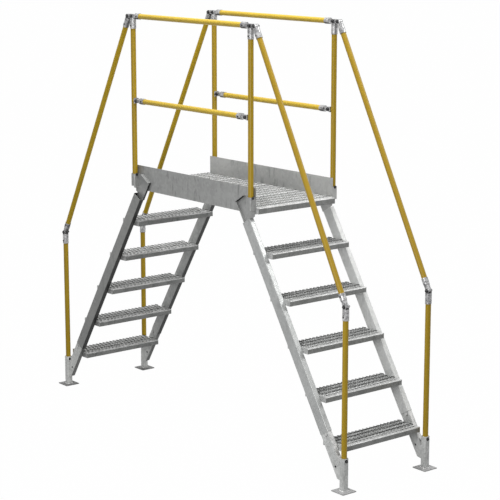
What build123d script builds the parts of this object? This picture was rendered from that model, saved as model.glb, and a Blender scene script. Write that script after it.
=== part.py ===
from math import atan2, cos, hypot, sin
import os

from build123d import *

# Crossover ladder: two steep flights meet a short deck, with a tube handrail on each side.
# X runs along the crossing, Y across it and Z up; the origin is on the floor, under the
# middle of the deck. One quarter is drawn, at +X and +Y, and the other three mirror it.

# Flights
deck_height = 1524.0
tread_count = 5
tread_run = 159.6
nosing_inside_deck_end = 29.6

# Planks: the treads and the deck are the same folded section
plank_sheet = 2.5
plank_bend = 3.0
plank_return = 12.0
tread_depth = 180.0
tread_lip = 32.0
deck_length = 1270.0
deck_plank_count = 4
deck_plank_gap = 1.4
deck_plank_lip = 36.0
drain_hole_count = 12
drain_hole_length = 30.0
drain_hole_width = 14.0

# Stringers, which are rectangular tubes
stringer_inner_y = 302.0
stringer_width = 34.0
stringer_depth = 73.0
stringer_wall = 2.5
stringer_corner = 4.0
stringer_behind_nosing = 48.3
stringer_top_t = 43.0
stringer_foot_z = 329.8

# Side panels, which are the toe boards and carry the deck
panel_sheet = 2.5
panel_inside_deck_end = 24.0
toe_height = 118.0
deck_ledge = 64.0
side_clearance = 0.2

# Legs of the side panels, which slide into the tops of the stringers
leg_sheet = 2.5
leg_rise = 102.0
leg_front_d = 38.0
leg_rear_d = 128.0
leg_inside_deck_end = 31.0
leg_shoulder_above_deck = 21.0
leg_flange = 14.0
leg_tab = 26.0
leg_overlap = 82.0

# Handrail tube
tube_radius = 16.7
tube_wall = 2.6
tube_clearance = 0.3
rail_above_deck = 1067.0
midrail_above_deck = 534.0
post_inside_deck_end = 46.0
foot_post_inside_flight = 135.0
knuckle_height = 1080.0

# Straps that hold the deck posts, and sleeves that hold the foot posts
strap_sheet = 2.5
strap_corner = 8.0
strap_height = 79.0
strap_below_deck = 15.0
sleeve_height = 194.0

# Swivel fittings on the tube ends, measured from the middle of their pin
socket_wall = 2.5
socket_mouth_at = 78.0
fork_wall_at = 13.5
tongue_wall_at = 38.0
ear_half_width = 12.0
ear_inside = 12.5
ear_sheet = 2.5
ear_gap = 0.3
pin_radius = 4.5
pin_clearance = 0.3
slope_pin_offset = 43.0
midrail_pin_offset = 38.0
midrail_lug_height = 34.0

# Feet
base_side = 101.6
base_thickness = 6.0
base_hole_radius = 5.5
base_hole_spacing = 76.0
foot_sheet = 3.0
foot_overlap = 80.0
foot_heel_z = 66.0
foot_heel_step = 8.0
tread_pad_length = 50.0
tread_pad_height = 24.0

# Worked out from the sizes above
riser = deck_height / (tread_count + 1)
slope = atan2(riser, tread_run)
deck_end_x = deck_length / 2
nosing_x = deck_end_x - nosing_inside_deck_end
flight_foot_x = nosing_x + (tread_count + 1) * tread_run
stringer_y = stringer_inner_y + stringer_width / 2
stringer_front_d = stringer_behind_nosing
stringer_rear_d = stringer_front_d + stringer_depth
stringer_bottom_t = (deck_height - stringer_foot_z - stringer_front_d * cos(slope)) / sin(slope)
tongue_front_d = stringer_front_d + stringer_wall + tube_clearance
tongue_rear_d = stringer_rear_d - stringer_wall - tube_clearance
panel_half_length = deck_end_x - panel_inside_deck_end
panel_outer_y = stringer_inner_y + panel_sheet
panel_bottom = deck_height - deck_plank_lip - panel_sheet
leg_outer_y = stringer_inner_y + stringer_wall + leg_sheet
post_x = deck_end_x - post_inside_deck_end
post_y = leg_outer_y + tube_clearance + tube_radius
foot_post_x = flight_foot_x - foot_post_inside_flight
strap_inner = 2 * (tube_radius + tube_clearance)
strap_outer = strap_inner + 2 * strap_sheet
rail_height = deck_height + rail_above_deck
midrail_height = deck_height + midrail_above_deck
cup_bore = tube_radius + tube_clearance
cup_radius = cup_bore + socket_wall
fork_tube_end = fork_wall_at + socket_wall + tube_clearance
tongue_tube_end = tongue_wall_at + socket_wall + tube_clearance
ear_outside = ear_inside + ear_sheet
tongue_half = ear_inside - ear_gap
slope_pin_x = post_x + slope_pin_offset
midrail_pin_x = post_x - midrail_pin_offset
rail_drop = rail_height - knuckle_height
rail_reach = foot_post_x - slope_pin_x
sloped_rail_length = hypot(rail_drop, rail_reach)


def down_slope(t, d, y=0.0):
    """Point of a flight at t down the slope and d square behind the line of the nosings."""
    x = nosing_x + t * cos(slope) - d * sin(slope)
    z = deck_height - t * sin(slope) - d * cos(slope)
    return (x, y, z)


def flight_plane(y):
    """Upright plane of a flight: local x runs down the slope and local y square behind it."""
    return Plane(origin=down_slope(0, 0, y), x_dir=(cos(slope), 0, -sin(slope)), z_dir=(0, 1, 0))


def on_flight(x, z):
    """The t and d of a point of the upright plane."""
    run = x - nosing_x
    drop = deck_height - z
    return (run * cos(slope) + drop * sin(slope), drop * cos(slope) - run * sin(slope))


def pin_plane(x, z, direction):
    """Plane on a pin that lies along Y, with its z axis along a tube that swivels on it."""
    return Plane(origin=(x, post_y, z), x_dir=(0, 1, 0), z_dir=direction)


def save(piece, name, end=1, side=1):
    """Write one piece, mirrored to the -X end or the -Y side where asked."""
    shape = piece.part
    if end < 0:
        shape = mirror(shape, about=Plane.YZ)
    if side < 0:
        shape = mirror(shape, about=Plane.XZ)
    shape.label = name
    export_step(shape, f"parts/{name}.step")


def save_quarters(piece, name):
    for end, end_name in ((-1, "left"), (1, "right")):
        for side, side_name in ((-1, "front"), (1, "back")):
            save(piece, f"{end_name}_{side_name}_{name}", end, side)


def plank(x_middle, top, depth, lip, half_length):
    """Folded plank across the way: a top, two lips, two returns, closed ends and drain holes."""
    inner_half = half_length - plank_sheet
    with BuildPart() as piece:
        with BuildSketch(Plane.XZ.shift_origin((x_middle, 0, top))):
            Rectangle(depth, lip, align=(Align.CENTER, Align.MAX))
        extrude(amount=half_length, both=True)
        folds = piece.edges().filter_by(Axis.Y).group_by(Axis.Z)[-1]
        fillet([folds.sort_by(Axis.X)[0], folds.sort_by(Axis.X)[-1]], plank_bend)
        with BuildSketch(Plane.XZ.shift_origin((x_middle, 0, top - plank_sheet))):
            Rectangle(
                depth - 2 * plank_sheet,
                lip - 2 * plank_sheet,
                align=(Align.CENTER, Align.MAX),
            )
            Rectangle(depth - 2 * plank_return, lip, align=(Align.CENTER, Align.MAX))
        extrude(amount=inner_half, both=True, mode=Mode.SUBTRACT)
        with BuildSketch(Plane.XY.offset(top)):
            with Locations((x_middle, 0)):
                with GridLocations(0, 2 * half_length / (drain_hole_count + 1), 1, drain_hole_count):
                    Polygon(
                        (-drain_hole_width / 2, 0),
                        (0, -drain_hole_length / 2),
                        (drain_hole_width / 2, 0),
                        (0, drain_hole_length / 2),
                    )
        extrude(amount=-plank_sheet, mode=Mode.SUBTRACT)
    return piece


def tube(plane, length):
    """Round rail tube that starts on the plane."""
    with BuildPart() as piece:
        with BuildSketch(plane):
            Circle(tube_radius)
            Circle(tube_radius - tube_wall, mode=Mode.SUBTRACT)
        extrude(amount=length)
    return piece


def cup(pin, wall_at):
    """Cup over a tube end: closed towards the pin at wall_at, and open at its mouth."""
    with BuildPart() as piece:
        with BuildSketch(pin.offset(wall_at)):
            Circle(cup_radius)
        extrude(amount=socket_mouth_at - wall_at)
        with BuildSketch(pin.offset(wall_at + socket_wall)):
            Circle(cup_bore)
        extrude(amount=socket_mouth_at - wall_at - socket_wall, mode=Mode.SUBTRACT)
    return piece


def fork_cup(pin):
    """Cup with two ears on its closed end, and the pin that joins them."""
    ear_length = fork_wall_at + socket_wall / 2
    with BuildPart() as piece:
        add(cup(pin, fork_wall_at).part)
        for hand in (-1, 1):
            ear_plane = Plane(
                origin=pin.from_local_coords((hand * ear_inside, 0, 0)),
                x_dir=pin.z_dir,
                z_dir=pin.x_dir * hand,
            )
            with BuildSketch(ear_plane):
                Circle(ear_half_width)
                with Locations((ear_length / 2, 0)):
                    Rectangle(ear_length, 2 * ear_half_width)
            extrude(amount=ear_sheet)
        with BuildSketch(Plane(origin=pin.origin, z_dir=pin.x_dir)):
            Circle(pin_radius)
        extrude(amount=ear_outside, both=True)
    return piece


def tongue_cup(pin, beyond=0.0):
    """Cup with a tongue between the ears of a fork, and a second pin hole beyond the first."""
    tongue_length = tongue_wall_at + socket_wall / 2 + beyond
    with BuildPart() as piece:
        add(cup(pin, tongue_wall_at).part)
        with BuildSketch(Plane(origin=pin.origin, x_dir=pin.z_dir, z_dir=pin.x_dir)):
            with Locations((-beyond, 0)):
                Circle(ear_half_width)
            with Locations((tongue_length / 2 - beyond, 0)):
                Rectangle(tongue_length, 2 * ear_half_width)
            with Locations((0, 0), (-beyond, 0)):
                Circle(pin_radius + pin_clearance, mode=Mode.SUBTRACT)
        extrude(amount=tongue_half, both=True)
    return piece


os.makedirs("parts", exist_ok=True)

# Treads: five folded planks a flight, bolted between the stringers
for step in range(1, tread_count + 1):
    tread_middle = nosing_x + step * tread_run - tread_depth / 2
    tread = plank(tread_middle, deck_height - step * riser, tread_depth, tread_lip, stringer_inner_y)
    save(tread, f"left_tread_{step}", end=-1)
    save(tread, f"right_tread_{step}")

# Deck: planks side by side across the way, laid on the ledges of the side panels
plank_pitch = deck_length / deck_plank_count
with BuildPart() as deck:
    for place in range(deck_plank_count):
        plank_middle = (place - (deck_plank_count - 1) / 2) * plank_pitch
        deck_plank = plank(
            plank_middle,
            deck_height,
            plank_pitch - deck_plank_gap,
            deck_plank_lip,
            stringer_inner_y - side_clearance,
        )
        add(deck_plank.part)
save(deck, "deck_planks")

# Stringers: rectangular tubes, cut square at both ends
stringer_end = Plane(
    origin=down_slope(stringer_top_t, (stringer_front_d + stringer_rear_d) / 2, stringer_y),
    x_dir=(0, 1, 0),
    z_dir=(cos(slope), 0, -sin(slope)),
)
with BuildPart() as stringer:
    with BuildSketch(stringer_end):
        RectangleRounded(stringer_width, stringer_depth, stringer_corner)
        Rectangle(
            stringer_width - 2 * stringer_wall,
            stringer_depth - 2 * stringer_wall,
            mode=Mode.SUBTRACT,
        )
    extrude(amount=stringer_bottom_t - stringer_top_t)
save_quarters(stringer, "stringer")

# Side panels: a toe board with a ledge under the deck, a leg at each end that slides into a
# stringer, and a strap at each end round a deck post
leg_shoulder = on_flight(deck_end_x - leg_inside_deck_end, deck_height + leg_shoulder_above_deck)
leg_mouth_d = leg_shoulder[1] + (stringer_top_t - leg_shoulder[0]) * cos(slope) / sin(slope)
with BuildPart() as half_panel:
    with BuildSketch(Plane.XZ.offset(-stringer_inner_y)):
        with Locations((panel_half_length / 2, panel_bottom)):
            Rectangle(
                panel_half_length,
                deck_height + toe_height - panel_bottom,
                align=(Align.CENTER, Align.MIN),
            )
    extrude(amount=-panel_sheet)
    with BuildSketch(Plane.XY.offset(panel_bottom)):
        with Locations((panel_half_length / 2, stringer_inner_y)):
            Rectangle(panel_half_length, deck_ledge, align=(Align.CENTER, Align.MAX))
    extrude(amount=panel_sheet)
    with BuildSketch(flight_plane(panel_outer_y)):
        with BuildLine():
            Polyline(
                (-leg_rise, leg_rear_d),
                (-leg_rise, leg_front_d),
                leg_shoulder,
                (stringer_top_t, leg_mouth_d),
                (stringer_top_t, tongue_front_d),
                (stringer_top_t + leg_overlap, tongue_front_d),
                (stringer_top_t + leg_overlap, tongue_rear_d),
                (stringer_top_t, tongue_rear_d),
                (stringer_top_t, leg_rear_d),
                close=True,
            )
        make_face()
    extrude(amount=leg_sheet)
    with BuildSketch(flight_plane(panel_outer_y)):
        with Locations((-leg_rise, leg_front_d)):
            Rectangle(leg_sheet, leg_rear_d - leg_front_d, align=(Align.MIN, Align.MIN))
    extrude(amount=leg_tab)
    with BuildSketch(flight_plane(panel_outer_y)):
        with Locations((-leg_rise, leg_rear_d)):
            Rectangle(leg_rise + stringer_top_t, leg_sheet, align=(Align.MIN, Align.MAX))
        with Locations((stringer_top_t, tongue_rear_d)):
            Rectangle(leg_overlap, leg_sheet, align=(Align.MIN, Align.MAX))
    extrude(amount=leg_flange)
    with BuildSketch(Plane.XY.offset(deck_height - strap_below_deck)):
        with Locations((post_x, post_y)):
            RectangleRounded(strap_outer, strap_outer, strap_corner)
        with Locations((post_x, panel_outer_y)):
            Rectangle(strap_outer, post_y - panel_outer_y, align=(Align.CENTER, Align.MIN))
    extrude(amount=strap_height)
    with BuildSketch(Plane.XY.offset(deck_height - strap_below_deck)):
        with Locations((post_x, post_y)):
            RectangleRounded(strap_inner, strap_inner, strap_corner - strap_sheet)
        with Locations((post_x, leg_outer_y)):
            Rectangle(strap_inner, post_y - leg_outer_y, align=(Align.CENTER, Align.MIN))
    extrude(amount=strap_height, mode=Mode.SUBTRACT)
with BuildPart() as panel:
    add(half_panel.part)
    mirror(about=Plane.YZ)
save(panel, "front_side_panel", side=-1)
save(panel, "back_side_panel")

# Deck posts and foot posts: upright tubes, held in the straps and in the foot sleeves
post_foot = deck_height - strap_below_deck
deck_post = tube(Plane((post_x, post_y, post_foot)), rail_height - fork_tube_end - post_foot)
save_quarters(deck_post, "deck_post")
foot_post = tube(
    Plane((foot_post_x, post_y, base_thickness)),
    knuckle_height - fork_tube_end - base_thickness,
)
save_quarters(foot_post, "foot_post")

# Top and middle rails: level tubes between the posts of one side
for rail_name, pin_x, height in (
    ("top_rail", post_x, rail_height),
    ("middle_rail", midrail_pin_x, midrail_height),
):
    tube_half = pin_x - tongue_tube_end
    rail = tube(Plane(origin=(-tube_half, post_y, height), z_dir=(1, 0, 0)), 2 * tube_half)
    save(rail, f"front_{rail_name}", side=-1)
    save(rail, f"back_{rail_name}")

# Sloped rails: from the swivel fittings at the deck posts down to those on the foot posts
down_rail = Vector(rail_reach, 0, -rail_drop).normalized()
sloped_rail_top = Vector(slope_pin_x, post_y, rail_height) + down_rail * fork_tube_end
sloped_rail = tube(
    Plane(origin=sloped_rail_top, z_dir=down_rail),
    sloped_rail_length - fork_tube_end - tongue_tube_end,
)
save_quarters(sloped_rail, "sloped_rail")

# Post fittings at the corner: a fork on the post and a fork on the sloped rail, each with its
# own pin, and a cup on the top rail whose long tongue lies in both
post_cup = fork_cup(pin_plane(post_x, rail_height, (0, 0, -1)))
slope_cup = fork_cup(pin_plane(slope_pin_x, rail_height, down_rail))
top_rail_cup = tongue_cup(pin_plane(post_x, rail_height, (-1, 0, 0)), slope_pin_offset)

# Post fittings at the middle rail: a lug on the inner side of the post and a cup on its pin
lug_back_x = post_x - tube_radius - tube_clearance
with BuildPart() as midrail_lug:
    for hand in (-1, 1):
        with BuildSketch(Plane.XZ.offset(-post_y - hand * ear_inside)):
            with Locations((midrail_pin_x, midrail_height)):
                Circle(ear_half_width)
            with Locations((lug_back_x, midrail_height)):
                Rectangle(ear_sheet, midrail_lug_height, align=(Align.MAX, Align.CENTER))
            make_hull()
        extrude(amount=-hand * ear_sheet)
    with BuildSketch(Plane.XY.offset(midrail_height - midrail_lug_height / 2)):
        with Locations((lug_back_x, post_y)):
            Rectangle(ear_sheet, 2 * ear_outside, align=(Align.MAX, Align.CENTER))
    extrude(amount=midrail_lug_height)
    with BuildSketch(Plane(origin=(midrail_pin_x, post_y, midrail_height), z_dir=(0, 1, 0))):
        Circle(pin_radius)
    extrude(amount=ear_outside, both=True)
midrail_cup = tongue_cup(pin_plane(midrail_pin_x, midrail_height, (-1, 0, 0)))
with BuildPart() as post_fittings:
    for fitting in (post_cup, slope_cup, top_rail_cup, midrail_lug, midrail_cup):
        add(fitting.part)
save_quarters(post_fittings, "post_fittings")

# Knuckles: a fork on the foot post and a cup on the sloped rail whose tongue lies in it
foot_cup = fork_cup(pin_plane(foot_post_x, knuckle_height, (0, 0, -1)))
rail_cup = tongue_cup(pin_plane(foot_post_x, knuckle_height, -down_rail))
with BuildPart() as knuckle:
    add(foot_cup.part)
    add(rail_cup.part)
save_quarters(knuckle, "knuckle")

# Foot brackets: a base plate with a sleeve for the foot post, a formed channel from the
# sleeve up into the bottom end of the stringer, and a pad that the last tread bolts to
channel_width = stringer_width - 2 * stringer_wall - 2 * side_clearance
channel_top_t = stringer_bottom_t - foot_overlap
tongue_mid_d = (tongue_front_d + tongue_rear_d) / 2
heel_t = (deck_height - foot_heel_z - tongue_rear_d * cos(slope)) / sin(slope)
last_tread_middle = deck_height - tread_count * riser - tread_lip / 2
pad_t = (deck_height - last_tread_middle - tongue_mid_d * cos(slope)) / sin(slope)
front_t = (foot_post_x - nosing_x + tongue_front_d * sin(slope)) / cos(slope)
with BuildPart() as foot_bracket:
    with BuildSketch(flight_plane(stringer_y)):
        with BuildLine():
            Polyline(
                (channel_top_t, tongue_front_d),
                (channel_top_t, tongue_rear_d),
                (heel_t, tongue_rear_d),
                on_flight(foot_post_x, foot_heel_z - foot_heel_step),
                (front_t, tongue_front_d),
                close=True,
            )
        make_face()
    extrude(amount=channel_width / 2, both=True)
    with BuildSketch(flight_plane(stringer_y)):
        with BuildLine():
            Polyline(
                (channel_top_t, tongue_front_d),
                (channel_top_t, tongue_rear_d - foot_sheet),
                (heel_t, tongue_rear_d - foot_sheet),
                on_flight(foot_post_x, foot_heel_z - foot_heel_step),
                (front_t, tongue_front_d),
                close=True,
            )
        make_face()
    extrude(amount=channel_width / 2 - foot_sheet, both=True, mode=Mode.SUBTRACT)
    with BuildSketch(Plane.XZ.offset(-stringer_inner_y)):
        with Locations((down_slope(pad_t, tongue_mid_d)[0], last_tread_middle)):
            Rectangle(tread_pad_length, tread_pad_height)
    extrude(amount=-(stringer_y - channel_width / 2 + foot_sheet - stringer_inner_y))
    with BuildSketch(Plane((foot_post_x, post_y, base_thickness))):
        RectangleRounded(strap_outer, strap_outer, strap_corner)
    extrude(amount=sleeve_height)
    with BuildSketch(Plane((foot_post_x, post_y, base_thickness))):
        RectangleRounded(strap_inner, strap_inner, strap_corner - strap_sheet)
    extrude(amount=sleeve_height, mode=Mode.SUBTRACT)
    with BuildSketch(Plane((foot_post_x, post_y, 0))):
        Rectangle(base_side, base_side)
        with GridLocations(0, base_hole_spacing, 1, 2):
            Circle(base_hole_radius, mode=Mode.SUBTRACT)
    extrude(amount=base_thickness)
save_quarters(foot_bracket, "foot_bracket")
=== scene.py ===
import math

import bpy
import numpy as np
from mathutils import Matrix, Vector


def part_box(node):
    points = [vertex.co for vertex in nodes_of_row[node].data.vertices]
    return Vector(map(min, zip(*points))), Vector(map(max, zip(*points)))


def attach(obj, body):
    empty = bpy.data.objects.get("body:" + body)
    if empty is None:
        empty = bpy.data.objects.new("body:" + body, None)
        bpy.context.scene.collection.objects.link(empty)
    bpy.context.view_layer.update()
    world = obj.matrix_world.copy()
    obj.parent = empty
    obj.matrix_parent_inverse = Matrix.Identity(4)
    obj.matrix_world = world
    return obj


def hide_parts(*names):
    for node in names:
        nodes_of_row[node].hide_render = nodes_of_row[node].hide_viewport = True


# The crossover ladder in metres: X along the crossing, Y across it, Z up from the floor.
# The sections follow the ladder from its feet up to the handrail.
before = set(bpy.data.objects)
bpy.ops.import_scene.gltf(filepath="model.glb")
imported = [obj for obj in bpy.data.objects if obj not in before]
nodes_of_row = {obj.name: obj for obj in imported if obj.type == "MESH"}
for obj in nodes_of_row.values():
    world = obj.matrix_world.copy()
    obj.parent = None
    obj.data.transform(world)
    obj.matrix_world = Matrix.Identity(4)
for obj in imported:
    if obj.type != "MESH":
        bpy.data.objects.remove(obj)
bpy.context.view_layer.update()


# Feet: a base plate with a sleeve for the foot post, and a formed channel that runs up into
# the stringer. Folded and welded from steel sheet, then dipped in molten zinc.
def zinc_bloom_group():
    """Node group: frozen zinc crystals, clouds and scuffs, as values from 0 to 1."""
    group = bpy.data.node_groups.new("zinc_bloom", "ShaderNodeTree")
    for socket in ("Crystal Scale", "Cloud Scale"):
        group.interface.new_socket(socket, in_out="INPUT", socket_type="NodeSocketFloat")
    for socket in ("Tone", "Height", "Scuff"):
        group.interface.new_socket(socket, in_out="OUTPUT", socket_type="NodeSocketFloat")
    nodes, links = group.nodes, group.links
    given = nodes.new("NodeGroupInput")
    made = nodes.new("NodeGroupOutput")
    place = nodes.new("ShaderNodeTexCoord")
    crystals = nodes.new("ShaderNodeTexVoronoi")
    links.new(place.outputs["Object"], crystals.inputs["Vector"])
    links.new(given.outputs["Crystal Scale"], crystals.inputs["Scale"])
    clouds = nodes.new("ShaderNodeTexNoise")
    clouds.inputs["Detail"].default_value = 4.0
    clouds.inputs["Distortion"].default_value = 0.6
    links.new(place.outputs["Object"], clouds.inputs["Vector"])
    links.new(given.outputs["Cloud Scale"], clouds.inputs["Scale"])
    grey = nodes.new("ShaderNodeSeparateColor")
    links.new(crystals.outputs["Color"], grey.inputs["Color"])
    blend = nodes.new("ShaderNodeMix")
    blend.inputs["Factor"].default_value = 0.75
    links.new(grey.outputs["Red"], blend.inputs["A"])
    links.new(clouds.outputs["Fac"], blend.inputs["B"])
    stretch = nodes.new("ShaderNodeMapping")
    stretch.inputs["Scale"].default_value = (26.0, 26.0, 7.0)
    links.new(place.outputs["Object"], stretch.inputs["Vector"])
    scuffs = nodes.new("ShaderNodeTexNoise")
    scuffs.inputs["Scale"].default_value = 1.0
    scuffs.inputs["Detail"].default_value = 5.0
    scuffs.inputs["Roughness"].default_value = 0.62
    links.new(stretch.outputs["Vector"], scuffs.inputs["Vector"])
    marks = nodes.new("ShaderNodeMapRange")
    marks.inputs["From Min"].default_value = 0.57
    marks.inputs["From Max"].default_value = 0.68
    links.new(scuffs.outputs["Fac"], marks.inputs["Value"])
    links.new(blend.outputs["Result"], made.inputs["Tone"])
    links.new(crystals.outputs["Distance"], made.inputs["Height"])
    links.new(marks.outputs["Result"], made.inputs["Scuff"])
    return group


zinc_bloom = zinc_bloom_group()


def zinc_material(name, dark, light, metallic, rough, grain, scuffing, under):
    """Zinc skin between a dark and a light tone, mixed by the bloom.

    Roughness runs between the two values of rough, grain is the scale of the crystals and of
    the clouds, and scuffing says how far scuffs darken. Under is painted shade: it says how far
    faces that look down are darkened towards near black.
    """
    mat = bpy.data.materials.new(name)
    mat.use_nodes = True
    nodes, links = mat.node_tree.nodes, mat.node_tree.links
    shader = nodes["Principled BSDF"]
    shader.inputs["Metallic"].default_value = metallic
    shader.inputs["Specular IOR Level"].default_value = 0.15
    bloom = nodes.new("ShaderNodeGroup")
    bloom.node_tree = zinc_bloom
    bloom.inputs["Crystal Scale"].default_value = grain[0]
    bloom.inputs["Cloud Scale"].default_value = grain[1]
    spread = nodes.new("ShaderNodeMapRange")
    spread.inputs["From Min"].default_value = 0.34
    spread.inputs["From Max"].default_value = 0.66
    links.new(bloom.outputs["Tone"], spread.inputs["Value"])
    tone = nodes.new("ShaderNodeMix")
    tone.data_type = "RGBA"
    tone.inputs["A"].default_value = (*dark, 1)
    tone.inputs["B"].default_value = (*light, 1)
    links.new(spread.outputs["Result"], tone.inputs["Factor"])
    worn = nodes.new("ShaderNodeMath")
    worn.operation = "MULTIPLY"
    worn.inputs[1].default_value = scuffing
    links.new(bloom.outputs["Scuff"], worn.inputs[0])
    scuffed = nodes.new("ShaderNodeMix")
    scuffed.data_type = "RGBA"
    scuffed.blend_type = "MULTIPLY"
    scuffed.inputs["B"].default_value = (0.55, 0.55, 0.55, 1)
    links.new(worn.outputs["Value"], scuffed.inputs["Factor"])
    links.new(tone.outputs["Result"], scuffed.inputs["A"])
    # Painted shade: faces whose normal looks down are multiplied towards a near-black grey, fully
    # from a normal z of -0.55 down, by the share under.
    shape = nodes.new("ShaderNodeNewGeometry")
    upright = nodes.new("ShaderNodeSeparateXYZ")
    links.new(shape.outputs["Normal"], upright.inputs["Vector"])
    downward_painted_shade = nodes.new("ShaderNodeMapRange")
    downward_painted_shade.inputs["From Min"].default_value = -0.30
    downward_painted_shade.inputs["From Max"].default_value = -0.55
    downward_painted_shade.inputs["To Max"].default_value = under
    links.new(upright.outputs["Z"], downward_painted_shade.inputs["Value"])
    shaded = nodes.new("ShaderNodeMix")
    shaded.data_type = "RGBA"
    shaded.blend_type = "MULTIPLY"
    shaded.inputs["B"].default_value = (0.07, 0.07, 0.07, 1)
    links.new(downward_painted_shade.outputs["Result"], shaded.inputs["Factor"])
    links.new(scuffed.outputs["Result"], shaded.inputs["A"])
    links.new(shaded.outputs["Result"], shader.inputs["Base Color"])
    sheen = nodes.new("ShaderNodeMapRange")
    sheen.inputs["To Min"].default_value = rough[0]
    sheen.inputs["To Max"].default_value = rough[1]
    links.new(bloom.outputs["Tone"], sheen.inputs["Value"])
    links.new(sheen.outputs["Result"], shader.inputs["Roughness"])
    relief = nodes.new("ShaderNodeBump")
    relief.inputs["Strength"].default_value = 0.15
    relief.inputs["Distance"].default_value = 0.0005
    links.new(bloom.outputs["Height"], relief.inputs["Height"])
    links.new(relief.outputs["Normal"], shader.inputs["Normal"])
    return mat


def dress(name, *skins):
    """Gives a solid of the frame its materials, in the order of its slots."""
    mesh = nodes_of_row[name].data
    mesh.materials.clear()
    for skin in skins:
        mesh.materials.append(skin)


# The brackets are lighter than their base plates, which are of a duller sheet. The left and
# right feet take lighter and darker copies of the same zinc as painted light and shade: the
# left brackets lighter, the left plates darker.
base_top = 0.006
plate_reach = 1.1 * base_top
foot_grain = (90.0, 14.0)
foot_lit_and_shaded_tones = {
    "left": ((0.60, 0.61, 0.60), (0.78, 0.79, 0.77)),
    "right": ((0.48, 0.49, 0.48), (0.66, 0.67, 0.66)),
}
plate_lit_and_shaded_tones = {
    "left": ((0.19, 0.19, 0.19), (0.27, 0.27, 0.27)),
    "right": ((0.37, 0.37, 0.37), (0.47, 0.47, 0.47)),
}
for flight in ("left", "right"):
    bracket_zinc = zinc_material(
        f"{flight}_foot_zinc",
        *foot_lit_and_shaded_tones[flight],
        metallic=0.15,
        rough=(0.46, 0.30),
        grain=foot_grain,
        scuffing=0.5,
        under=0.8,
    )
    plate_zinc = zinc_material(
        f"{flight}_plate_zinc",
        *plate_lit_and_shaded_tones[flight],
        metallic=0.15,
        rough=(0.50, 0.40),
        grain=foot_grain,
        scuffing=0.5,
        under=0.8,
    )
    for row in ("front", "back"):
        name = f"{flight}_{row}_foot_bracket"
        dress(name, bracket_zinc, plate_zinc)
        bracket = nodes_of_row[name]
        for face in bracket.data.polygons:
            height = (bracket.matrix_world @ face.center).z
            face.material_index = int(height < plate_reach)


def new_piece(name, points, faces, material, slot):
    """Mesh at the world origin from points and faces, with its material and body. The slot is not
    used.
    """
    mesh = bpy.data.meshes.new(name)
    mesh.from_pydata(np.asarray(points).tolist(), [], faces)
    mesh.materials.append(material)
    piece = bpy.data.objects.new(name, mesh)
    bpy.context.scene.collection.objects.link(piece)
    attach(piece, "root")
    return piece


def ring_quads(rings, count):
    """Quads between rings of points, ring by ring, each ring closed on itself."""
    place = np.arange(rings * count).reshape(rings, count)
    place = np.hstack([place, place[:, :1]])
    quads = (place[:-1, :-1], place[:-1, 1:], place[1:, 1:], place[1:, :-1])
    return np.stack(quads, -1).reshape(-1, 4)


def gathered(parts):
    """One array of points and one list of faces from several (points, faces) pairs."""
    points = np.concatenate([part for part, _ in parts])
    faces, start = [], 0
    for part, part_faces in parts:
        faces += [[corner + start for corner in face] for face in part_faces]
        start += len(part)
    return points, faces


def turned(base, axis, profile, sides, turn=0.0):
    """Solid turned about an axis: each (radius, height) of the profile gives a ring of points.

    Six sides give a hexagon head, many give a washer. The first and last rings are capped.
    """
    axis = np.asarray(axis, float)
    helper = np.array([0.0, 0.0, 1.0]) if abs(axis[2]) < 0.9 else np.array([1.0, 0.0, 0.0])
    across = np.cross(axis, helper)
    across /= np.linalg.norm(across)
    upward = np.cross(axis, across)
    angle = turn + np.arange(sides) * 2 * np.pi / sides
    ring = np.cos(angle)[:, None] * across + np.sin(angle)[:, None] * upward
    points = [np.asarray(base) + radius * ring + height * axis for radius, height in profile]
    faces = ring_quads(len(profile), sides).tolist()
    last = (len(profile) - 1) * sides
    faces.append(list(range(sides))[::-1])
    faces.append(list(range(last, last + sides)))
    return np.concatenate(points), faces


washer_height = 0.0016
washer_share, shank_share = 0.72, 0.30
bevel_start, bevel_share = 0.82, 0.86
shank_start, shank_end = 0.8, 1.5
head_turn = 0.3


def bolt_head(base, axis, flats, height):
    """Washer and hexagon head on a face, with the head's corners turned off at the top.

    The washer's radius is a share of the size across flats. The bevel starts at a share of the
    head's height and ends at a share of the corner's radius.
    """
    corner = flats / math.sqrt(3)
    radius = flats * washer_share
    washer = turned(base, axis, [(radius, 0.0), (radius, washer_height)], sides=20)
    bevel = [(corner, height * bevel_start), (corner * bevel_share, height)]
    hexagon = turned(base, axis, [(corner, washer_height)] + bevel, sides=6, turn=head_turn)
    return gathered([washer, hexagon])


def nut(base, axis, flats, height):
    """Washer and nut on a face, with the bolt's end standing out of the nut."""
    radius = flats * shank_share
    shank = [(radius, height * shank_start), (radius, height * shank_end)]
    end = turned(base, axis, shank, sides=12)
    return gathered([bolt_head(base, axis, flats, height), end])


corners = [(end, side) for end in (-1, 1) for side in (-1, 1)]


def cross_bolts(middle, reach, axis, head, nut_size):
    """Heads and nuts of one bolt that is mirrored to the ladder's four corners.

    The bolt's middle is given at the +X +Y corner. The head stands reach outwards from it along
    the axis and the nut as far inwards. Head and nut are (flats, height).
    """
    heads, nuts = [], []
    for end, side in corners:
        mirror = np.array([end, side, 1])
        outward = np.array(axis) * mirror
        spot = np.array(middle) * mirror
        heads.append(bolt_head(spot + reach * outward, outward, *head))
        nuts.append(nut(spot - reach * outward, -outward, *nut_size))
    return heads, nuts


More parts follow.
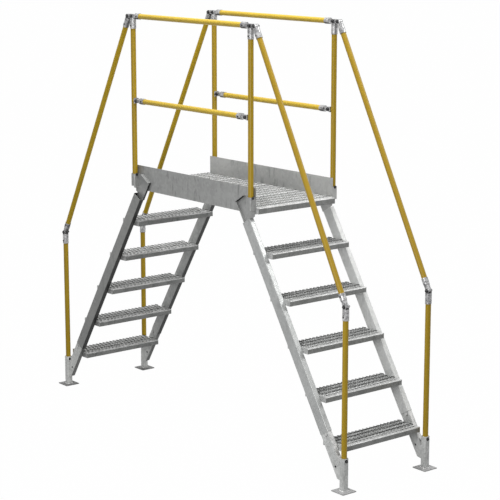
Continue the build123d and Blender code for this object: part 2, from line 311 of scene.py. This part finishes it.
def black_steel_material():
    """Oiled black steel of the bolts: near black, with a soft gloss that comes and goes."""
    mat = bpy.data.materials.new("black_steel")
    mat.use_nodes = True
    nodes, links = mat.node_tree.nodes, mat.node_tree.links
    shader = nodes["Principled BSDF"]
    shader.inputs["Metallic"].default_value = 0.3
    place = nodes.new("ShaderNodeTexCoord")
    oil = nodes.new("ShaderNodeTexNoise")
    oil.inputs["Scale"].default_value = 180.0
    links.new(place.outputs["Object"], oil.inputs["Vector"])
    colour = nodes.new("ShaderNodeMix")
    colour.data_type = "RGBA"
    colour.inputs["A"].default_value = (0.012, 0.012, 0.013, 1)
    colour.inputs["B"].default_value = (0.040, 0.040, 0.042, 1)
    links.new(oil.outputs["Fac"], colour.inputs["Factor"])
    links.new(colour.outputs["Result"], shader.inputs["Base Color"])
    gloss = nodes.new("ShaderNodeMapRange")
    gloss.inputs["To Min"].default_value = 0.30
    gloss.inputs["To Max"].default_value = 0.55
    links.new(oil.outputs["Fac"], gloss.inputs["Value"])
    links.new(gloss.outputs["Result"], shader.inputs["Roughness"])
    return mat


black_steel = black_steel_material()
bright_zinc = zinc_material(
    "bright_zinc",
    (0.42, 0.42, 0.42),
    (0.72, 0.72, 0.71),
    metallic=0.60,
    rough=(0.40, 0.18),
    grain=(200.0, 45.0),
    scuffing=0.4,
    under=0.7,
)


def weld_bead(x, y, z, half, corner, size):
    """Bead round a rounded square: a small ring of points is swept along the outline.

    Each point of a wide circle goes to the nearest point of an inner square and then out again
    by the corner's radius, which gives the outline. The ring's radius swells and shrinks as the
    ripples of a weld do, with a slower sway under them.
    """
    steps, ring_steps = 120, 8
    ripples, sways = 30, 7
    step = np.linspace(0, 2 * np.pi, steps, endpoint=False)
    along = np.stack([np.cos(step), np.sin(step)], -1)
    flat = half - corner
    circle = along * half * 1.5
    outline = np.clip(circle, -flat, flat)
    outward = circle - outline
    outward /= np.linalg.norm(outward, axis=-1, keepdims=True) + 1e-9
    outline = outline + corner * outward
    ripple = size * (1 + 0.16 * np.sin(ripples * step) + 0.10 * np.sin(sways * step))
    ring = np.linspace(0, 2 * np.pi, ring_steps, endpoint=False)
    out = np.cos(ring)[None, :, None] * outward[:, None, :] * ripple[:, None, None]
    plan = outline[:, None, :] + out
    height = np.sin(ring)[None, :] * ripple[:, None]
    points = np.concatenate([plan + (x, y), (z + height)[..., None]], -1).reshape(-1, 3)
    quads = ring_quads(steps + 1, ring_steps)[:, ::-1] % len(points)
    return points, quads.tolist()


# Each foot post stands in its sleeve, which is welded to the base plate. A cross bolt clamps
# the post a little below the sleeve's top.
foot_post_low, foot_post_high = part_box("right_back_foot_post")
post_x = (foot_post_low[0] + foot_post_high[0]) / 2
post_y = (foot_post_low[1] + foot_post_high[1]) / 2
sleeve_half, sleeve_corner, sleeve_top = 0.0195, 0.008, 0.200
sleeve_bolt_drop = 0.016
sleeve_head_size, small_nut_size = (0.015, 0.0080), (0.013, 0.0060)
bead_size = 0.0034
beads = [
    weld_bead(end * post_x, side * post_y, base_top, sleeve_half, sleeve_corner, bead_size)
    for end, side in corners
]
new_piece("foot_weld_beads", *gathered(beads), bright_zinc, "galvanised_steel")

sleeve_bolt = (post_x, post_y, sleeve_top - sleeve_bolt_drop)
sleeve_heads, sleeve_nuts = cross_bolts(
    sleeve_bolt, sleeve_half, (1, 0, 0), sleeve_head_size, small_nut_size
)
new_piece("sleeve_bolt_heads", *gathered(sleeve_heads), black_steel, "zinc_plated_fittings")
new_piece("sleeve_nuts", *gathered(sleeve_nuts), black_steel, "zinc_plated_fittings")

# The channel's open front is closed by a web below the stringer's end, and a rivet's head
# stands on each of its sides above the heel. The flight's slope comes from its treads.
first_tread_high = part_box("right_tread_1")[1]
second_tread_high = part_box("right_tread_2")[1]
tread_run = second_tread_high[0] - first_tread_high[0]
riser = first_tread_high[2] - second_tread_high[2]
slope = math.atan2(riser, tread_run)
nosing = first_tread_high[0] - tread_run
deck_top = first_tread_high[2] + riser
stringer_low, stringer_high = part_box("right_back_stringer")
stringer_y = (stringer_low[1] + stringer_high[1]) / 2
channel_inner_half, channel_outer_half = 0.0113, 0.0143
web_front, web_sheet = 0.0520, 0.003
web_start, web_end = 1.372, 1.622
rivet_x, rivet_z = 1.366, 0.135
rivet_profile = [(0.0065, 0.0), (0.0055, 0.002), (0.002, 0.003)]


def on_flight(end, along, depth):
    """x and z of a point along the flight and a depth under its front line."""
    x = nosing + along * math.cos(slope) - depth * math.sin(slope)
    return end * x, deck_top - along * math.sin(slope) - depth * math.cos(slope)


webs, rivets = [], []
for end, side in corners:
    points = []
    for along, depth in (
        (web_start, web_front),
        (web_end, web_front),
        (web_end, web_front + web_sheet),
        (web_start, web_front + web_sheet),
    ):
        x, z = on_flight(end, along, depth)
        points.append((x, side * stringer_y - channel_inner_half, z))
        points.append((x, side * stringer_y + channel_inner_half, z))
    quads = [[0, 1, 3, 2], [2, 3, 5, 4], [4, 5, 7, 6], [6, 7, 1, 0], [0, 2, 4, 6], [7, 5, 3, 1]]
    if end > 0:
        quads = [quad[::-1] for quad in quads]
    webs.append((np.array(points), quads))
    for face in (-1, 1):
        spot = (end * rivet_x, side * stringer_y + face * channel_outer_half, rivet_z)
        rivets.append(turned(spot, (0, face, 0), rivet_profile, sides=16))
new_piece("foot_channel_webs", *gathered(webs), bright_zinc, "galvanised_steel")
new_piece("foot_channel_rivets", *gathered(rivets), black_steel, "zinc_plated_fittings")


# Stringers: rectangular tubes, galvanised. Each takes its own copy of the zinc, lighter or darker
# and more or less metallic as painted light and shade: the left front darkest, the right back
# lightest. The foot channels and the panels' legs slide into their ends, and a bolt holds each
# channel.
stringer_lit_and_shaded_tones = {
    "left_front_stringer": ((0.29, 0.295, 0.29), (0.35, 0.355, 0.345), 0.16),
    "left_back_stringer": ((0.46, 0.47, 0.465), (0.58, 0.59, 0.58), 0.10),
    "right_front_stringer": ((0.40, 0.41, 0.405), (0.48, 0.49, 0.485), 0.32),
    "right_back_stringer": ((0.64, 0.65, 0.64), (0.74, 0.75, 0.74), 0.06),
}
for name, (dark, light, metallic) in stringer_lit_and_shaded_tones.items():
    stringer_lit_zinc = zinc_material(
        f"{name}_zinc",
        dark,
        light,
        metallic,
        rough=(0.34, 0.28),
        grain=(50.0, 3.0),
        scuffing=0.35,
        under=1.0,
    )
    dress(name, stringer_lit_zinc)

stringer_half = (stringer_high[1] - stringer_low[1]) / 2
stringer_bolt_x, stringer_bolt_z = 1.288, 0.300
stringer_bolt = (stringer_bolt_x, stringer_y, stringer_bolt_z)
stringer_head_size = (0.013, 0.0055)
stringer_heads, stringer_nuts = cross_bolts(
    stringer_bolt, stringer_half, (0, 1, 0), stringer_head_size, small_nut_size
)
new_piece("stringer_bolt_heads", *gathered(stringer_heads), bright_zinc, "zinc_plated_fittings")
new_piece("stringer_nuts", *gathered(stringer_nuts), bright_zinc, "zinc_plated_fittings")


# Side panels: one folded sheet a side is toe board, deck ledge and legs, with a strap round
# each deck post. A bolt along X goes through each strap and its post.
# Painted shade and light: the two panels take copies of one zinc, the front one darker and the back
# one lighter.
panel_lit_and_shaded_tones = {
    "front_side_panel": ((0.32, 0.325, 0.32), (0.39, 0.395, 0.39)),
    "back_side_panel": ((0.43, 0.435, 0.43), (0.51, 0.515, 0.505)),
}
for name, (dark, light) in panel_lit_and_shaded_tones.items():
    panel_lit_zinc = zinc_material(
        f"{name}_zinc",
        dark,
        light,
        metallic=0.30,
        rough=(0.46, 0.36),
        grain=(60.0, 4.0),
        scuffing=0.8,
        under=1.0,
    )
    dress(name, panel_lit_zinc)

deck_post_low, deck_post_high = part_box("right_back_deck_post")
deck_post_x = (deck_post_low[0] + deck_post_high[0]) / 2
strap_half = 0.0195
strap_bolt_rise = 0.060
strap_bolt = (deck_post_x, post_y, deck_top + strap_bolt_rise)
strap_head_size = (0.013, 0.0070)
strap_heads, strap_nuts = cross_bolts(
    strap_bolt, strap_half, (1, 0, 0), strap_head_size, small_nut_size
)
new_piece("strap_bolts", *gathered(strap_heads + strap_nuts), black_steel, "zinc_plated_fittings")


# Grip planks: treads and deck are strips of sheet with rows of diamond openings. Each opening
# is punched and drawn up, so that it stands in a raised rim with teeth. Both long edges are
# folded down, and plates close the ends.
def plank_skin(name, dark, light, metallic=0.32, rough=(0.40, 0.30), scuffing=0.3, under=1.0):
    """Zinc of the planks, which all have the same grain."""
    return zinc_material(name, dark, light, metallic, rough, (120.0, 12.0), scuffing, under)


# The planks' zincs are copies of one zinc in different tones as painted light and shade: the deck
# lightest, the folded edges lighter than the treads for a painted highlight along their round
# bends, and the right flight's treads darkest.
lit_edge_zinc = plank_skin("lit_edge_zinc", (0.42, 0.425, 0.42), (0.58, 0.585, 0.58), rough=(0.38, 0.28))
lit_deck_zinc = plank_skin("lit_deck_zinc", (0.56, 0.565, 0.56), (0.74, 0.745, 0.74), rough=(0.38, 0.28))
shaded_tread_skin = plank_skin("shaded_tread_skin", (0.30, 0.305, 0.30), (0.43, 0.435, 0.43))
half_lit_tread_skin = plank_skin("half_lit_tread_skin", (0.41, 0.415, 0.41), (0.55, 0.555, 0.55))
# Painted shade: the faces inside the drawn openings get a near-black zinc for the shade in the
# hollows.
opening_shade_zinc = plank_skin(
    "opening_shade_zinc", (0.035, 0.035, 0.035), (0.07, 0.07, 0.07), 0.10, (0.55, 0.45), under=0.9
)
# Painted shade: the lips' faces that stand upright across X or look down get a darker zinc.
lip_shade_zinc = plank_skin(
    "lip_shade_zinc", (0.20, 0.205, 0.20), (0.27, 0.275, 0.27), 0.25, (0.48, 0.34), 0.5, 0.9
)
sheet = 0.0022
end_plate = 0.0025
hem_width = 0.012
front_bend, rear_bend = 0.006, 0.0028
tooth_height, small_tooth_height = 0.0085, 0.0025
low_tooth_share = 0.6
opening_depth = 0.0090
rim_rise = 0.0004
diamond_x, diamond_y = 0.80, 0.62
rim_foot_share, drawn_wall_share = 1.24, 0.90
upright_from, downward_from = 0.97, -0.9


def flat_plate(x_low, x_high, y_low, y_high, z_low, z_high):
    """Closed flat plate between two corners."""
    corner = [(x, y, z) for x in (x_low, x_high) for y in (y_low, y_high) for z in (z_low, z_high)]
    quads = [[0, 1, 3, 2], [4, 6, 7, 5], [0, 4, 5, 1], [2, 3, 7, 6], [0, 2, 6, 4], [1, 5, 7, 3]]
    return np.array(corner), quads


def opening_row(x_low, x_high, y_low, y_high, columns, top, shifted, height):
    """Row of raised diamond openings; a shifted row stands half a pitch along.

    Each cell is a closed ring of sheet with five rings of points: the cell's own edge on top,
    the foot of the rim, the teeth, the end of the wall that is drawn down inside, and the
    cell's edge on the underside. The inner rings are diamonds, as shares of the cell: x and y,
    each raised to a power, add up to one, times a size. Every second tooth is low. Returns
    points, faces and, for each face, 1 where it is inside the opening.
    """
    side = 4
    count = 4 * side
    power = 1.2
    step = np.linspace(-1, 1, side, endpoint=False)
    one = np.ones(side)
    edge = np.concatenate(
        [np.stack(pair, -1) for pair in ((step, -one), (one, step), (-step, one), (-one, -step))]
    )
    angle = np.arctan2(edge[:, 1], edge[:, 0])
    reach = (np.abs(np.cos(angle)) ** power + np.abs(np.sin(angle)) ** power) ** (-1 / power)
    diamond = np.stack([diamond_x * np.cos(angle), diamond_y * np.sin(angle)], -1) * reach[:, None]
    rings = np.stack(
        [edge, diamond * rim_foot_share, diamond, diamond * drawn_wall_share, edge]
    )
    teeth = height * np.where(np.arange(count) % 2, low_tooth_share, 1.0)
    level = np.ones(count)
    heights = np.stack([0 * level, rim_rise * level, teeth, -opening_depth * level, -sheet * level])
    pitch = np.array([x_high - x_low, (y_high - y_low) / columns])
    y = y_low + (np.arange(columns - shifted) + 0.5 + shifted * 0.5) * pitch[1]
    middle = np.stack([np.full(len(y), (x_low + x_high) / 2), y], -1)[:, None, None, :]
    plan = middle + rings[None] * pitch / 2
    tall = np.broadcast_to(top + heights, plan.shape[:-1])
    points = np.concatenate([plan, tall[..., None]], -1).reshape(-1, 3)
    around = ring_quads(len(rings) + 1, count) % (len(rings) * count)
    faces = around[None] + np.arange(len(y))[:, None, None] * len(rings) * count
    inside = np.tile(np.repeat([0, 0, 1, 1, 0], count), len(y))
    parts = [(points, faces.reshape(-1, 4).tolist())]
    if shifted:
        for start in (y_low, y_high - pitch[1] / 2):
            parts.append(flat_plate(x_low, x_high, start, start + pitch[1] / 2, top - sheet, top))
            inside = np.append(inside, np.zeros(6, int))
    return *gathered(parts), inside


def folded_edge(x_edge, x_inside, y_low, y_high, top, lip, bend):
    """Long edge of a plank: flat strip, round bend, lip and short hem, drawn along Y.

    The outline goes out along the sheet's outer face and comes back one sheet further in. Both
    bends are quarter circles about one centre.
    """
    way = math.copysign(1.0, x_edge - x_inside)
    turn = np.radians(np.linspace(90, 0, 9))
    outer_x = x_edge - way * bend * (1 - np.cos(turn))
    outer = np.stack([outer_x, top - bend * (1 - np.sin(turn))], -1)
    inner_bend = bend - sheet
    back = turn[::-1]
    inner_x = x_edge - way * (sheet + inner_bend * (1 - np.cos(back)))
    inner = np.stack([inner_x, top - sheet - inner_bend * (1 - np.sin(back))], -1)
    foot = top - lip
    hem = [
        [x_edge, foot],
        [x_edge - way * hem_width, foot],
        [x_edge - way * hem_width, foot + sheet],
        [x_edge - way * sheet, foot + sheet],
    ]
    outline = np.concatenate([[[x_inside, top]], outer, hem, inner, [[x_inside, top - sheet]]])
    if way < 0:
        outline = outline[::-1]
    rows = [
        np.stack([outline[:, 0], np.full(len(outline), y), outline[:, 1]], -1)
        for y in (y_low, y_high)
    ]
    return np.concatenate(rows), ring_quads(2, len(outline)).tolist()


def grip_plank(name, node, planks, rows, columns, grip_zinc, hollow_shade_skin):
    """Pieces made of planks that stand for a node: the grip pattern, and the folded edges.

    Each plank is (low corner, high corner), with its round front edge at high x. Rows are
    (start, end, shifted, height), measured from the rear edge. Faces inside the openings get
    the darker skin given for the hollows, and faces that stand upright or look down on the
    folded edges get the darker zinc of the lips, both as painted shade.
    """
    grip, folds = [], []
    for low, high in planks:
        rear, front = low[0], high[0]
        y_low, y_high = low[1] + end_plate, high[1] - end_plate
        top, lip = high[2], high[2] - low[2]
        folds.append(folded_edge(front, rear + rows[-1][1], y_low, y_high, top, lip, front_bend))
        folds.append(folded_edge(rear, rear + rows[0][0], y_low, y_high, top, lip, rear_bend))
        folds.append(flat_plate(rear, front, low[1], y_low, low[2], top))
        folds.append(flat_plate(rear, front, y_high, high[1], low[2], top))
        for start, end, shifted, height in rows:
            spot = (rear + start, rear + end, y_low, y_high)
            grip.append(opening_row(*spot, columns, top, shifted, height))
    points, faces = gathered([part[:2] for part in grip])
    pattern = new_piece(name, points, faces, grip_zinc, "galvanised_steel")
    # Painted shade: faces inside the openings take the darker skin.
    pattern.data.materials.append(hollow_shade_skin)
    inside = np.concatenate([part[2] for part in grip]).astype(np.int32)
    pattern.data.polygons.foreach_set("material_index", inside)
    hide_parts(node)
    edges = new_piece(name + "_edges", *gathered(folds), lit_edge_zinc, "galvanised_steel")
    edges.data.materials.append(lip_shade_zinc)
    # Painted shade: upright and downward faces of the edges take the darker lip zinc.
    normals = np.empty(len(edges.data.polygons) * 3)
    edges.data.polygons.foreach_get("normal", normals)
    toward_x, toward_z = np.abs(normals[0::3]), normals[2::3]
    lip_shade_faces = ((toward_x > upright_from) | (toward_z < downward_from)).astype(np.int32)
    edges.data.polygons.foreach_set("material_index", lip_shade_faces)


# A tread has three rows of openings, and a row of small ones behind its round edge.
tread_columns = 21
row_width, small_row_width, rear_margin = 0.048, 0.016, 0.003
row_starts = rear_margin + row_width * np.arange(4)
tread_rows = (
    (row_starts[0], row_starts[1], 0, tooth_height),
    (row_starts[1], row_starts[2], 1, tooth_height),
    (row_starts[2], row_starts[3], 0, tooth_height),
    (row_starts[3], row_starts[3] + small_row_width, 1, small_tooth_height),
)
# Painted light and shade: on the left the top two treads take the deck's lighter zinc and the lower
# three a middle tone; the right flight's treads take the darkest.
tread_lit_and_shaded_skins = {
    "left": (lit_deck_zinc, lit_deck_zinc, half_lit_tread_skin, half_lit_tread_skin, half_lit_tread_skin),
    "right": (shaded_tread_skin,) * 5,
}
for flight, skins in tread_lit_and_shaded_skins.items():
    for step, skin in enumerate(skins, start=1):
        node = f"{flight}_tread_{step}"
        name = f"{flight}_grip_tread_{step}"
        grip_plank(name, node, [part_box(node)], tread_rows, tread_columns, skin, opening_shade_zinc)

# The deck is four wider planks with five rows each.
deck_columns, deck_plank_count, deck_row_count = 22, 4, 5
deck_gap = 0.0014
deck_rear_margin, deck_front_margin = 0.006, 0.008
deck_low, deck_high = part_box("deck_planks")
deck_pitch = (deck_high[0] - deck_low[0] + deck_gap) / deck_plank_count
plank_width = deck_pitch - deck_gap
row_edges = np.linspace(deck_rear_margin, plank_width - deck_front_margin, deck_row_count + 1)
deck_rows = [
    (row_edges[place], row_edges[place + 1], place % 2, tooth_height)
    for place in range(deck_row_count)
]
deck = []
for place in range(deck_plank_count):
    rear = deck_low[0] + place * deck_pitch
    low = (rear, deck_low[1], deck_low[2])
    high = (rear + plank_width, deck_high[1], deck_high[2])
    deck.append((low, high))
# The deck's openings take the lips' darker zinc as painted shade.
grip_plank("deck_grip_planks", "deck_planks", deck, deck_rows, deck_columns, lit_deck_zinc, lip_shade_zinc)


# Handrail: drawn steel tube under a thick yellow powder coat, satin and slightly uneven. Its
# ends sit in the fittings.
def yellow_coat_material(name, dark, light):
    """Powder coat: one yellow that drifts a little, with a fine orange-peel ripple."""
    mat = bpy.data.materials.new(name)
    mat.use_nodes = True
    nodes, links = mat.node_tree.nodes, mat.node_tree.links
    shader = nodes["Principled BSDF"]
    shader.inputs["Specular IOR Level"].default_value = 0.3
    place = nodes.new("ShaderNodeTexCoord")
    drift = nodes.new("ShaderNodeTexNoise")
    drift.inputs["Scale"].default_value = 9.0
    drift.inputs["Detail"].default_value = 3.0
    links.new(place.outputs["Object"], drift.inputs["Vector"])
    colour = nodes.new("ShaderNodeMix")
    colour.data_type = "RGBA"
    colour.inputs["A"].default_value = (*dark, 1)
    colour.inputs["B"].default_value = (*light, 1)
    links.new(drift.outputs["Fac"], colour.inputs["Factor"])
    links.new(colour.outputs["Result"], shader.inputs["Base Color"])
    sheen = nodes.new("ShaderNodeMapRange")
    sheen.inputs["To Min"].default_value = 0.30
    sheen.inputs["To Max"].default_value = 0.42
    links.new(drift.outputs["Fac"], sheen.inputs["Value"])
    links.new(sheen.outputs["Result"], shader.inputs["Roughness"])
    peel = nodes.new("ShaderNodeTexNoise")
    peel.inputs["Scale"].default_value = 700.0
    links.new(place.outputs["Object"], peel.inputs["Vector"])
    relief = nodes.new("ShaderNodeBump")
    relief.inputs["Strength"].default_value = 0.12
    relief.inputs["Distance"].default_value = 0.0003
    links.new(peel.outputs["Fac"], relief.inputs["Height"])
    links.new(relief.outputs["Normal"], shader.inputs["Normal"])
    return mat


# Painted light and shade: posts, rails and sloped rails take copies of one yellow, the top and
# middle rails lightest, the left sloped rails next, the posts and the right sloped rails darker.
post_shaded_yellow = yellow_coat_material("post_shaded_yellow", (0.38, 0.245, 0.008), (0.44, 0.29, 0.012))
rail_lit_yellow = yellow_coat_material("rail_lit_yellow", (0.54, 0.37, 0.032), (0.62, 0.44, 0.045))
slope_lit_and_shaded_yellows = {
    "left": ((0.49, 0.325, 0.008), (0.56, 0.38, 0.012)),
    "right": ((0.36, 0.228, 0.012), (0.42, 0.272, 0.018)),
}
for name in nodes_of_row:
    if name.endswith("_post"):
        dress(name, post_shaded_yellow)
    elif name.endswith(("top_rail", "middle_rail")):
        dress(name, rail_lit_yellow)
for flight, tones in slope_lit_and_shaded_yellows.items():
    slope_painted_light_yellow = yellow_coat_material(f"{flight}_slope_painted_light_yellow", *tones)
    for row in ("front", "back"):
        dress(f"{flight}_{row}_sloped_rail", slope_painted_light_yellow)


# Swivel fittings: cast cups with forks and tongues, zinc plated. A black bolt goes through
# each fork along Y, with its head outside the handrail and its nut inside.
fitting_zinc = zinc_material(
    "fitting_zinc",
    (0.17, 0.17, 0.175),
    (0.60, 0.60, 0.60),
    metallic=0.55,
    rough=(0.42, 0.22),
    grain=(220.0, 40.0),
    scuffing=0.6,
    under=0.9,
)
for name in nodes_of_row:
    if name.endswith(("post_fittings", "knuckle")):
        dress(name, fitting_zinc)

rail_low, rail_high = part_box("back_top_rail")
middle_rail_low, middle_rail_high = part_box("back_middle_rail")
rail_z = (rail_low[2] + rail_high[2]) / 2
middle_rail_z = (middle_rail_low[2] + middle_rail_high[2]) / 2
knuckle_z = 1.080
slope_pin_offset, middle_pin_offset = 0.043, 0.038
slope_pin_x = deck_post_x + slope_pin_offset
middle_pin_x = deck_post_x - middle_pin_offset
fork_half = 0.015
pin_head_size, pin_nut_size = (0.017, 0.0075), (0.017, 0.0080)
pin_places = (
    (deck_post_x, rail_z),
    (slope_pin_x, rail_z),
    (middle_pin_x, middle_rail_z),
    (post_x, knuckle_z),
)
pin_heads, pin_nuts = [], []
for x, z in pin_places:
    heads, nuts = cross_bolts(
        (x, post_y, z), fork_half, (0, 1, 0), pin_head_size, pin_nut_size
    )
    pin_heads += heads
    pin_nuts += nuts
new_piece("pin_bolt_heads", *gathered(pin_heads), black_steel, "zinc_plated_fittings")
new_piece("pin_nuts", *gathered(pin_nuts), black_steel, "zinc_plated_fittings")

# A set screw in the outer side of each cup holds its tube. It stands equally far from the pin
# on every cup except the foot post's.
cup_radius, screw_sunk = 0.0195, 0.001
screw_profile = [(0.0055, 0.0), (0.0055, 0.003), (0.0040, 0.004)]
screw_along, foot_screw_along = 0.060, 0.058
sloped_rail_angle = math.atan2(rail_z - knuckle_z, post_x - slope_pin_x)
screw_run = screw_along * math.cos(sloped_rail_angle)
screw_drop = screw_along * math.sin(sloped_rail_angle)
screw_places = (
    (deck_post_x, rail_z - screw_along),
    (slope_pin_x + screw_run, rail_z - screw_drop),
    (deck_post_x - screw_along, rail_z),
    (middle_pin_x - screw_along, middle_rail_z),
    (post_x, knuckle_z - foot_screw_along),
    (post_x - screw_run, knuckle_z + screw_drop),
)
screws = []
for end, side in corners:
    for x, z in screw_places:
        spot = (end * x, side * (post_y + cup_radius - screw_sunk), z)
        screws.append(turned(spot, (0, side, 0), screw_profile, sides=16))
new_piece("cup_set_screws", *gathered(screws), black_steel, "zinc_plated_fittings")


# Studio: a pale floor under a white world. Rays from the camera, gloss and glass find white;
# the rest find a floor and a sky of a lower level, which keeps the undersides dark.
floor_reach = 110.0
floor_mesh = bpy.data.meshes.new("floor")
floor_mesh.from_pydata(
    [(x * floor_reach, y * floor_reach, 0.0) for x, y in ((-1, -1), (1, -1), (1, 1), (-1, 1))],
    [],
    [(0, 1, 2, 3)],
)
floor = bpy.data.objects.new("floor", floor_mesh)
bpy.context.scene.collection.objects.link(floor)


def seen_directly(nodes, links):
    """One for camera, glossy and transmission rays, else nought."""
    path = nodes.new("ShaderNodeLightPath")
    first = nodes.new("ShaderNodeMath")
    first.operation = "MAXIMUM"
    links.new(path.outputs["Is Camera Ray"], first.inputs[0])
    links.new(path.outputs["Is Glossy Ray"], first.inputs[1])
    both = nodes.new("ShaderNodeMath")
    both.operation = "MAXIMUM"
    links.new(first.outputs[0], both.inputs[0])
    links.new(path.outputs["Is Transmission Ray"], both.inputs[1])
    return both.outputs[0]


floor_mat = bpy.data.materials.new("floor")
floor_mat.use_nodes = True
nodes, links = floor_mat.node_tree.nodes, floor_mat.node_tree.links
ground = nodes["Principled BSDF"]
ground.inputs["Base Color"].default_value = (0.26, 0.26, 0.26, 1)
ground.inputs["Roughness"].default_value = 0.9
ground.inputs["Specular IOR Level"].default_value = 0.0
white = nodes.new("ShaderNodeEmission")
white.inputs["Strength"].default_value = 1.0
white_share = nodes.new("ShaderNodeMath")
white_share.operation = "MULTIPLY"
white_share.inputs[1].default_value = 0.993
links.new(seen_directly(nodes, links), white_share.inputs[0])
mixed = nodes.new("ShaderNodeMixShader")
links.new(white_share.outputs[0], mixed.inputs["Fac"])
links.new(ground.outputs["BSDF"], mixed.inputs[1])
links.new(white.outputs["Emission"], mixed.inputs[2])
links.new(mixed.outputs["Shader"], nodes["Material Output"].inputs["Surface"])
floor.data.materials.append(floor_mat)

world = bpy.data.worlds.new("studio")
bpy.context.scene.world = world
world.use_nodes = True
nodes, links = world.node_tree.nodes, world.node_tree.links
background = nodes["Background"]
background.inputs["Color"].default_value = (1, 1, 1, 1)
level = nodes.new("ShaderNodeMapRange")
level.inputs["To Min"].default_value = 0.24
level.inputs["To Max"].default_value = 1.0
links.new(seen_directly(nodes, links), level.inputs["Value"])
links.new(level.outputs["Result"], background.inputs["Strength"])


def soft_lamp(name, place, aim, size, power):
    """Square area lamp at a place, turned to a point."""
    lamp = bpy.data.lights.new(name, "AREA")
    lamp.size = size
    lamp.energy = power
    holder = bpy.data.objects.new(name, lamp)
    holder.location = place
    holder.rotation_euler = (Vector(aim) - Vector(place)).to_track_quat("-Z", "Y").to_euler()
    bpy.context.scene.collection.objects.link(holder)


soft_lamp("overhead", (0.5, -0.5, 6.0), (0.3, 0.0, 0.0), size=4.0, power=300.0)
soft_lamp("upper_back", (3.3, 3.4, 5.0), (0.9, 0.0, 1.2), size=1.8, power=80.0)
soft_lamp("side_fill", (2.4, -3.2, 1.6), (1.1, 0.0, 0.9), size=1.5, power=50.0)

# Camera: the photograph's place and angle, found from the ladder's own edges.
camera_data = bpy.data.cameras.new("camera")
camera_data.sensor_width = 36.0
camera_data.lens = 119.76
camera = bpy.data.objects.new("camera", camera_data)
camera.location = (8.0833, -6.4131, 3.2297)
camera_yaw = 2.45975
camera_pitch = -0.20014
looking = Vector(
    (
        math.cos(camera_yaw) * math.cos(camera_pitch),
        math.sin(camera_yaw) * math.cos(camera_pitch),
        math.sin(camera_pitch),
    )
)
camera.rotation_euler = looking.to_track_quat("-Z", "Y").to_euler()
bpy.context.scene.collection.objects.link(camera)
bpy.context.scene.camera = camera
bpy.context.scene.view_settings.view_transform = "Standard"
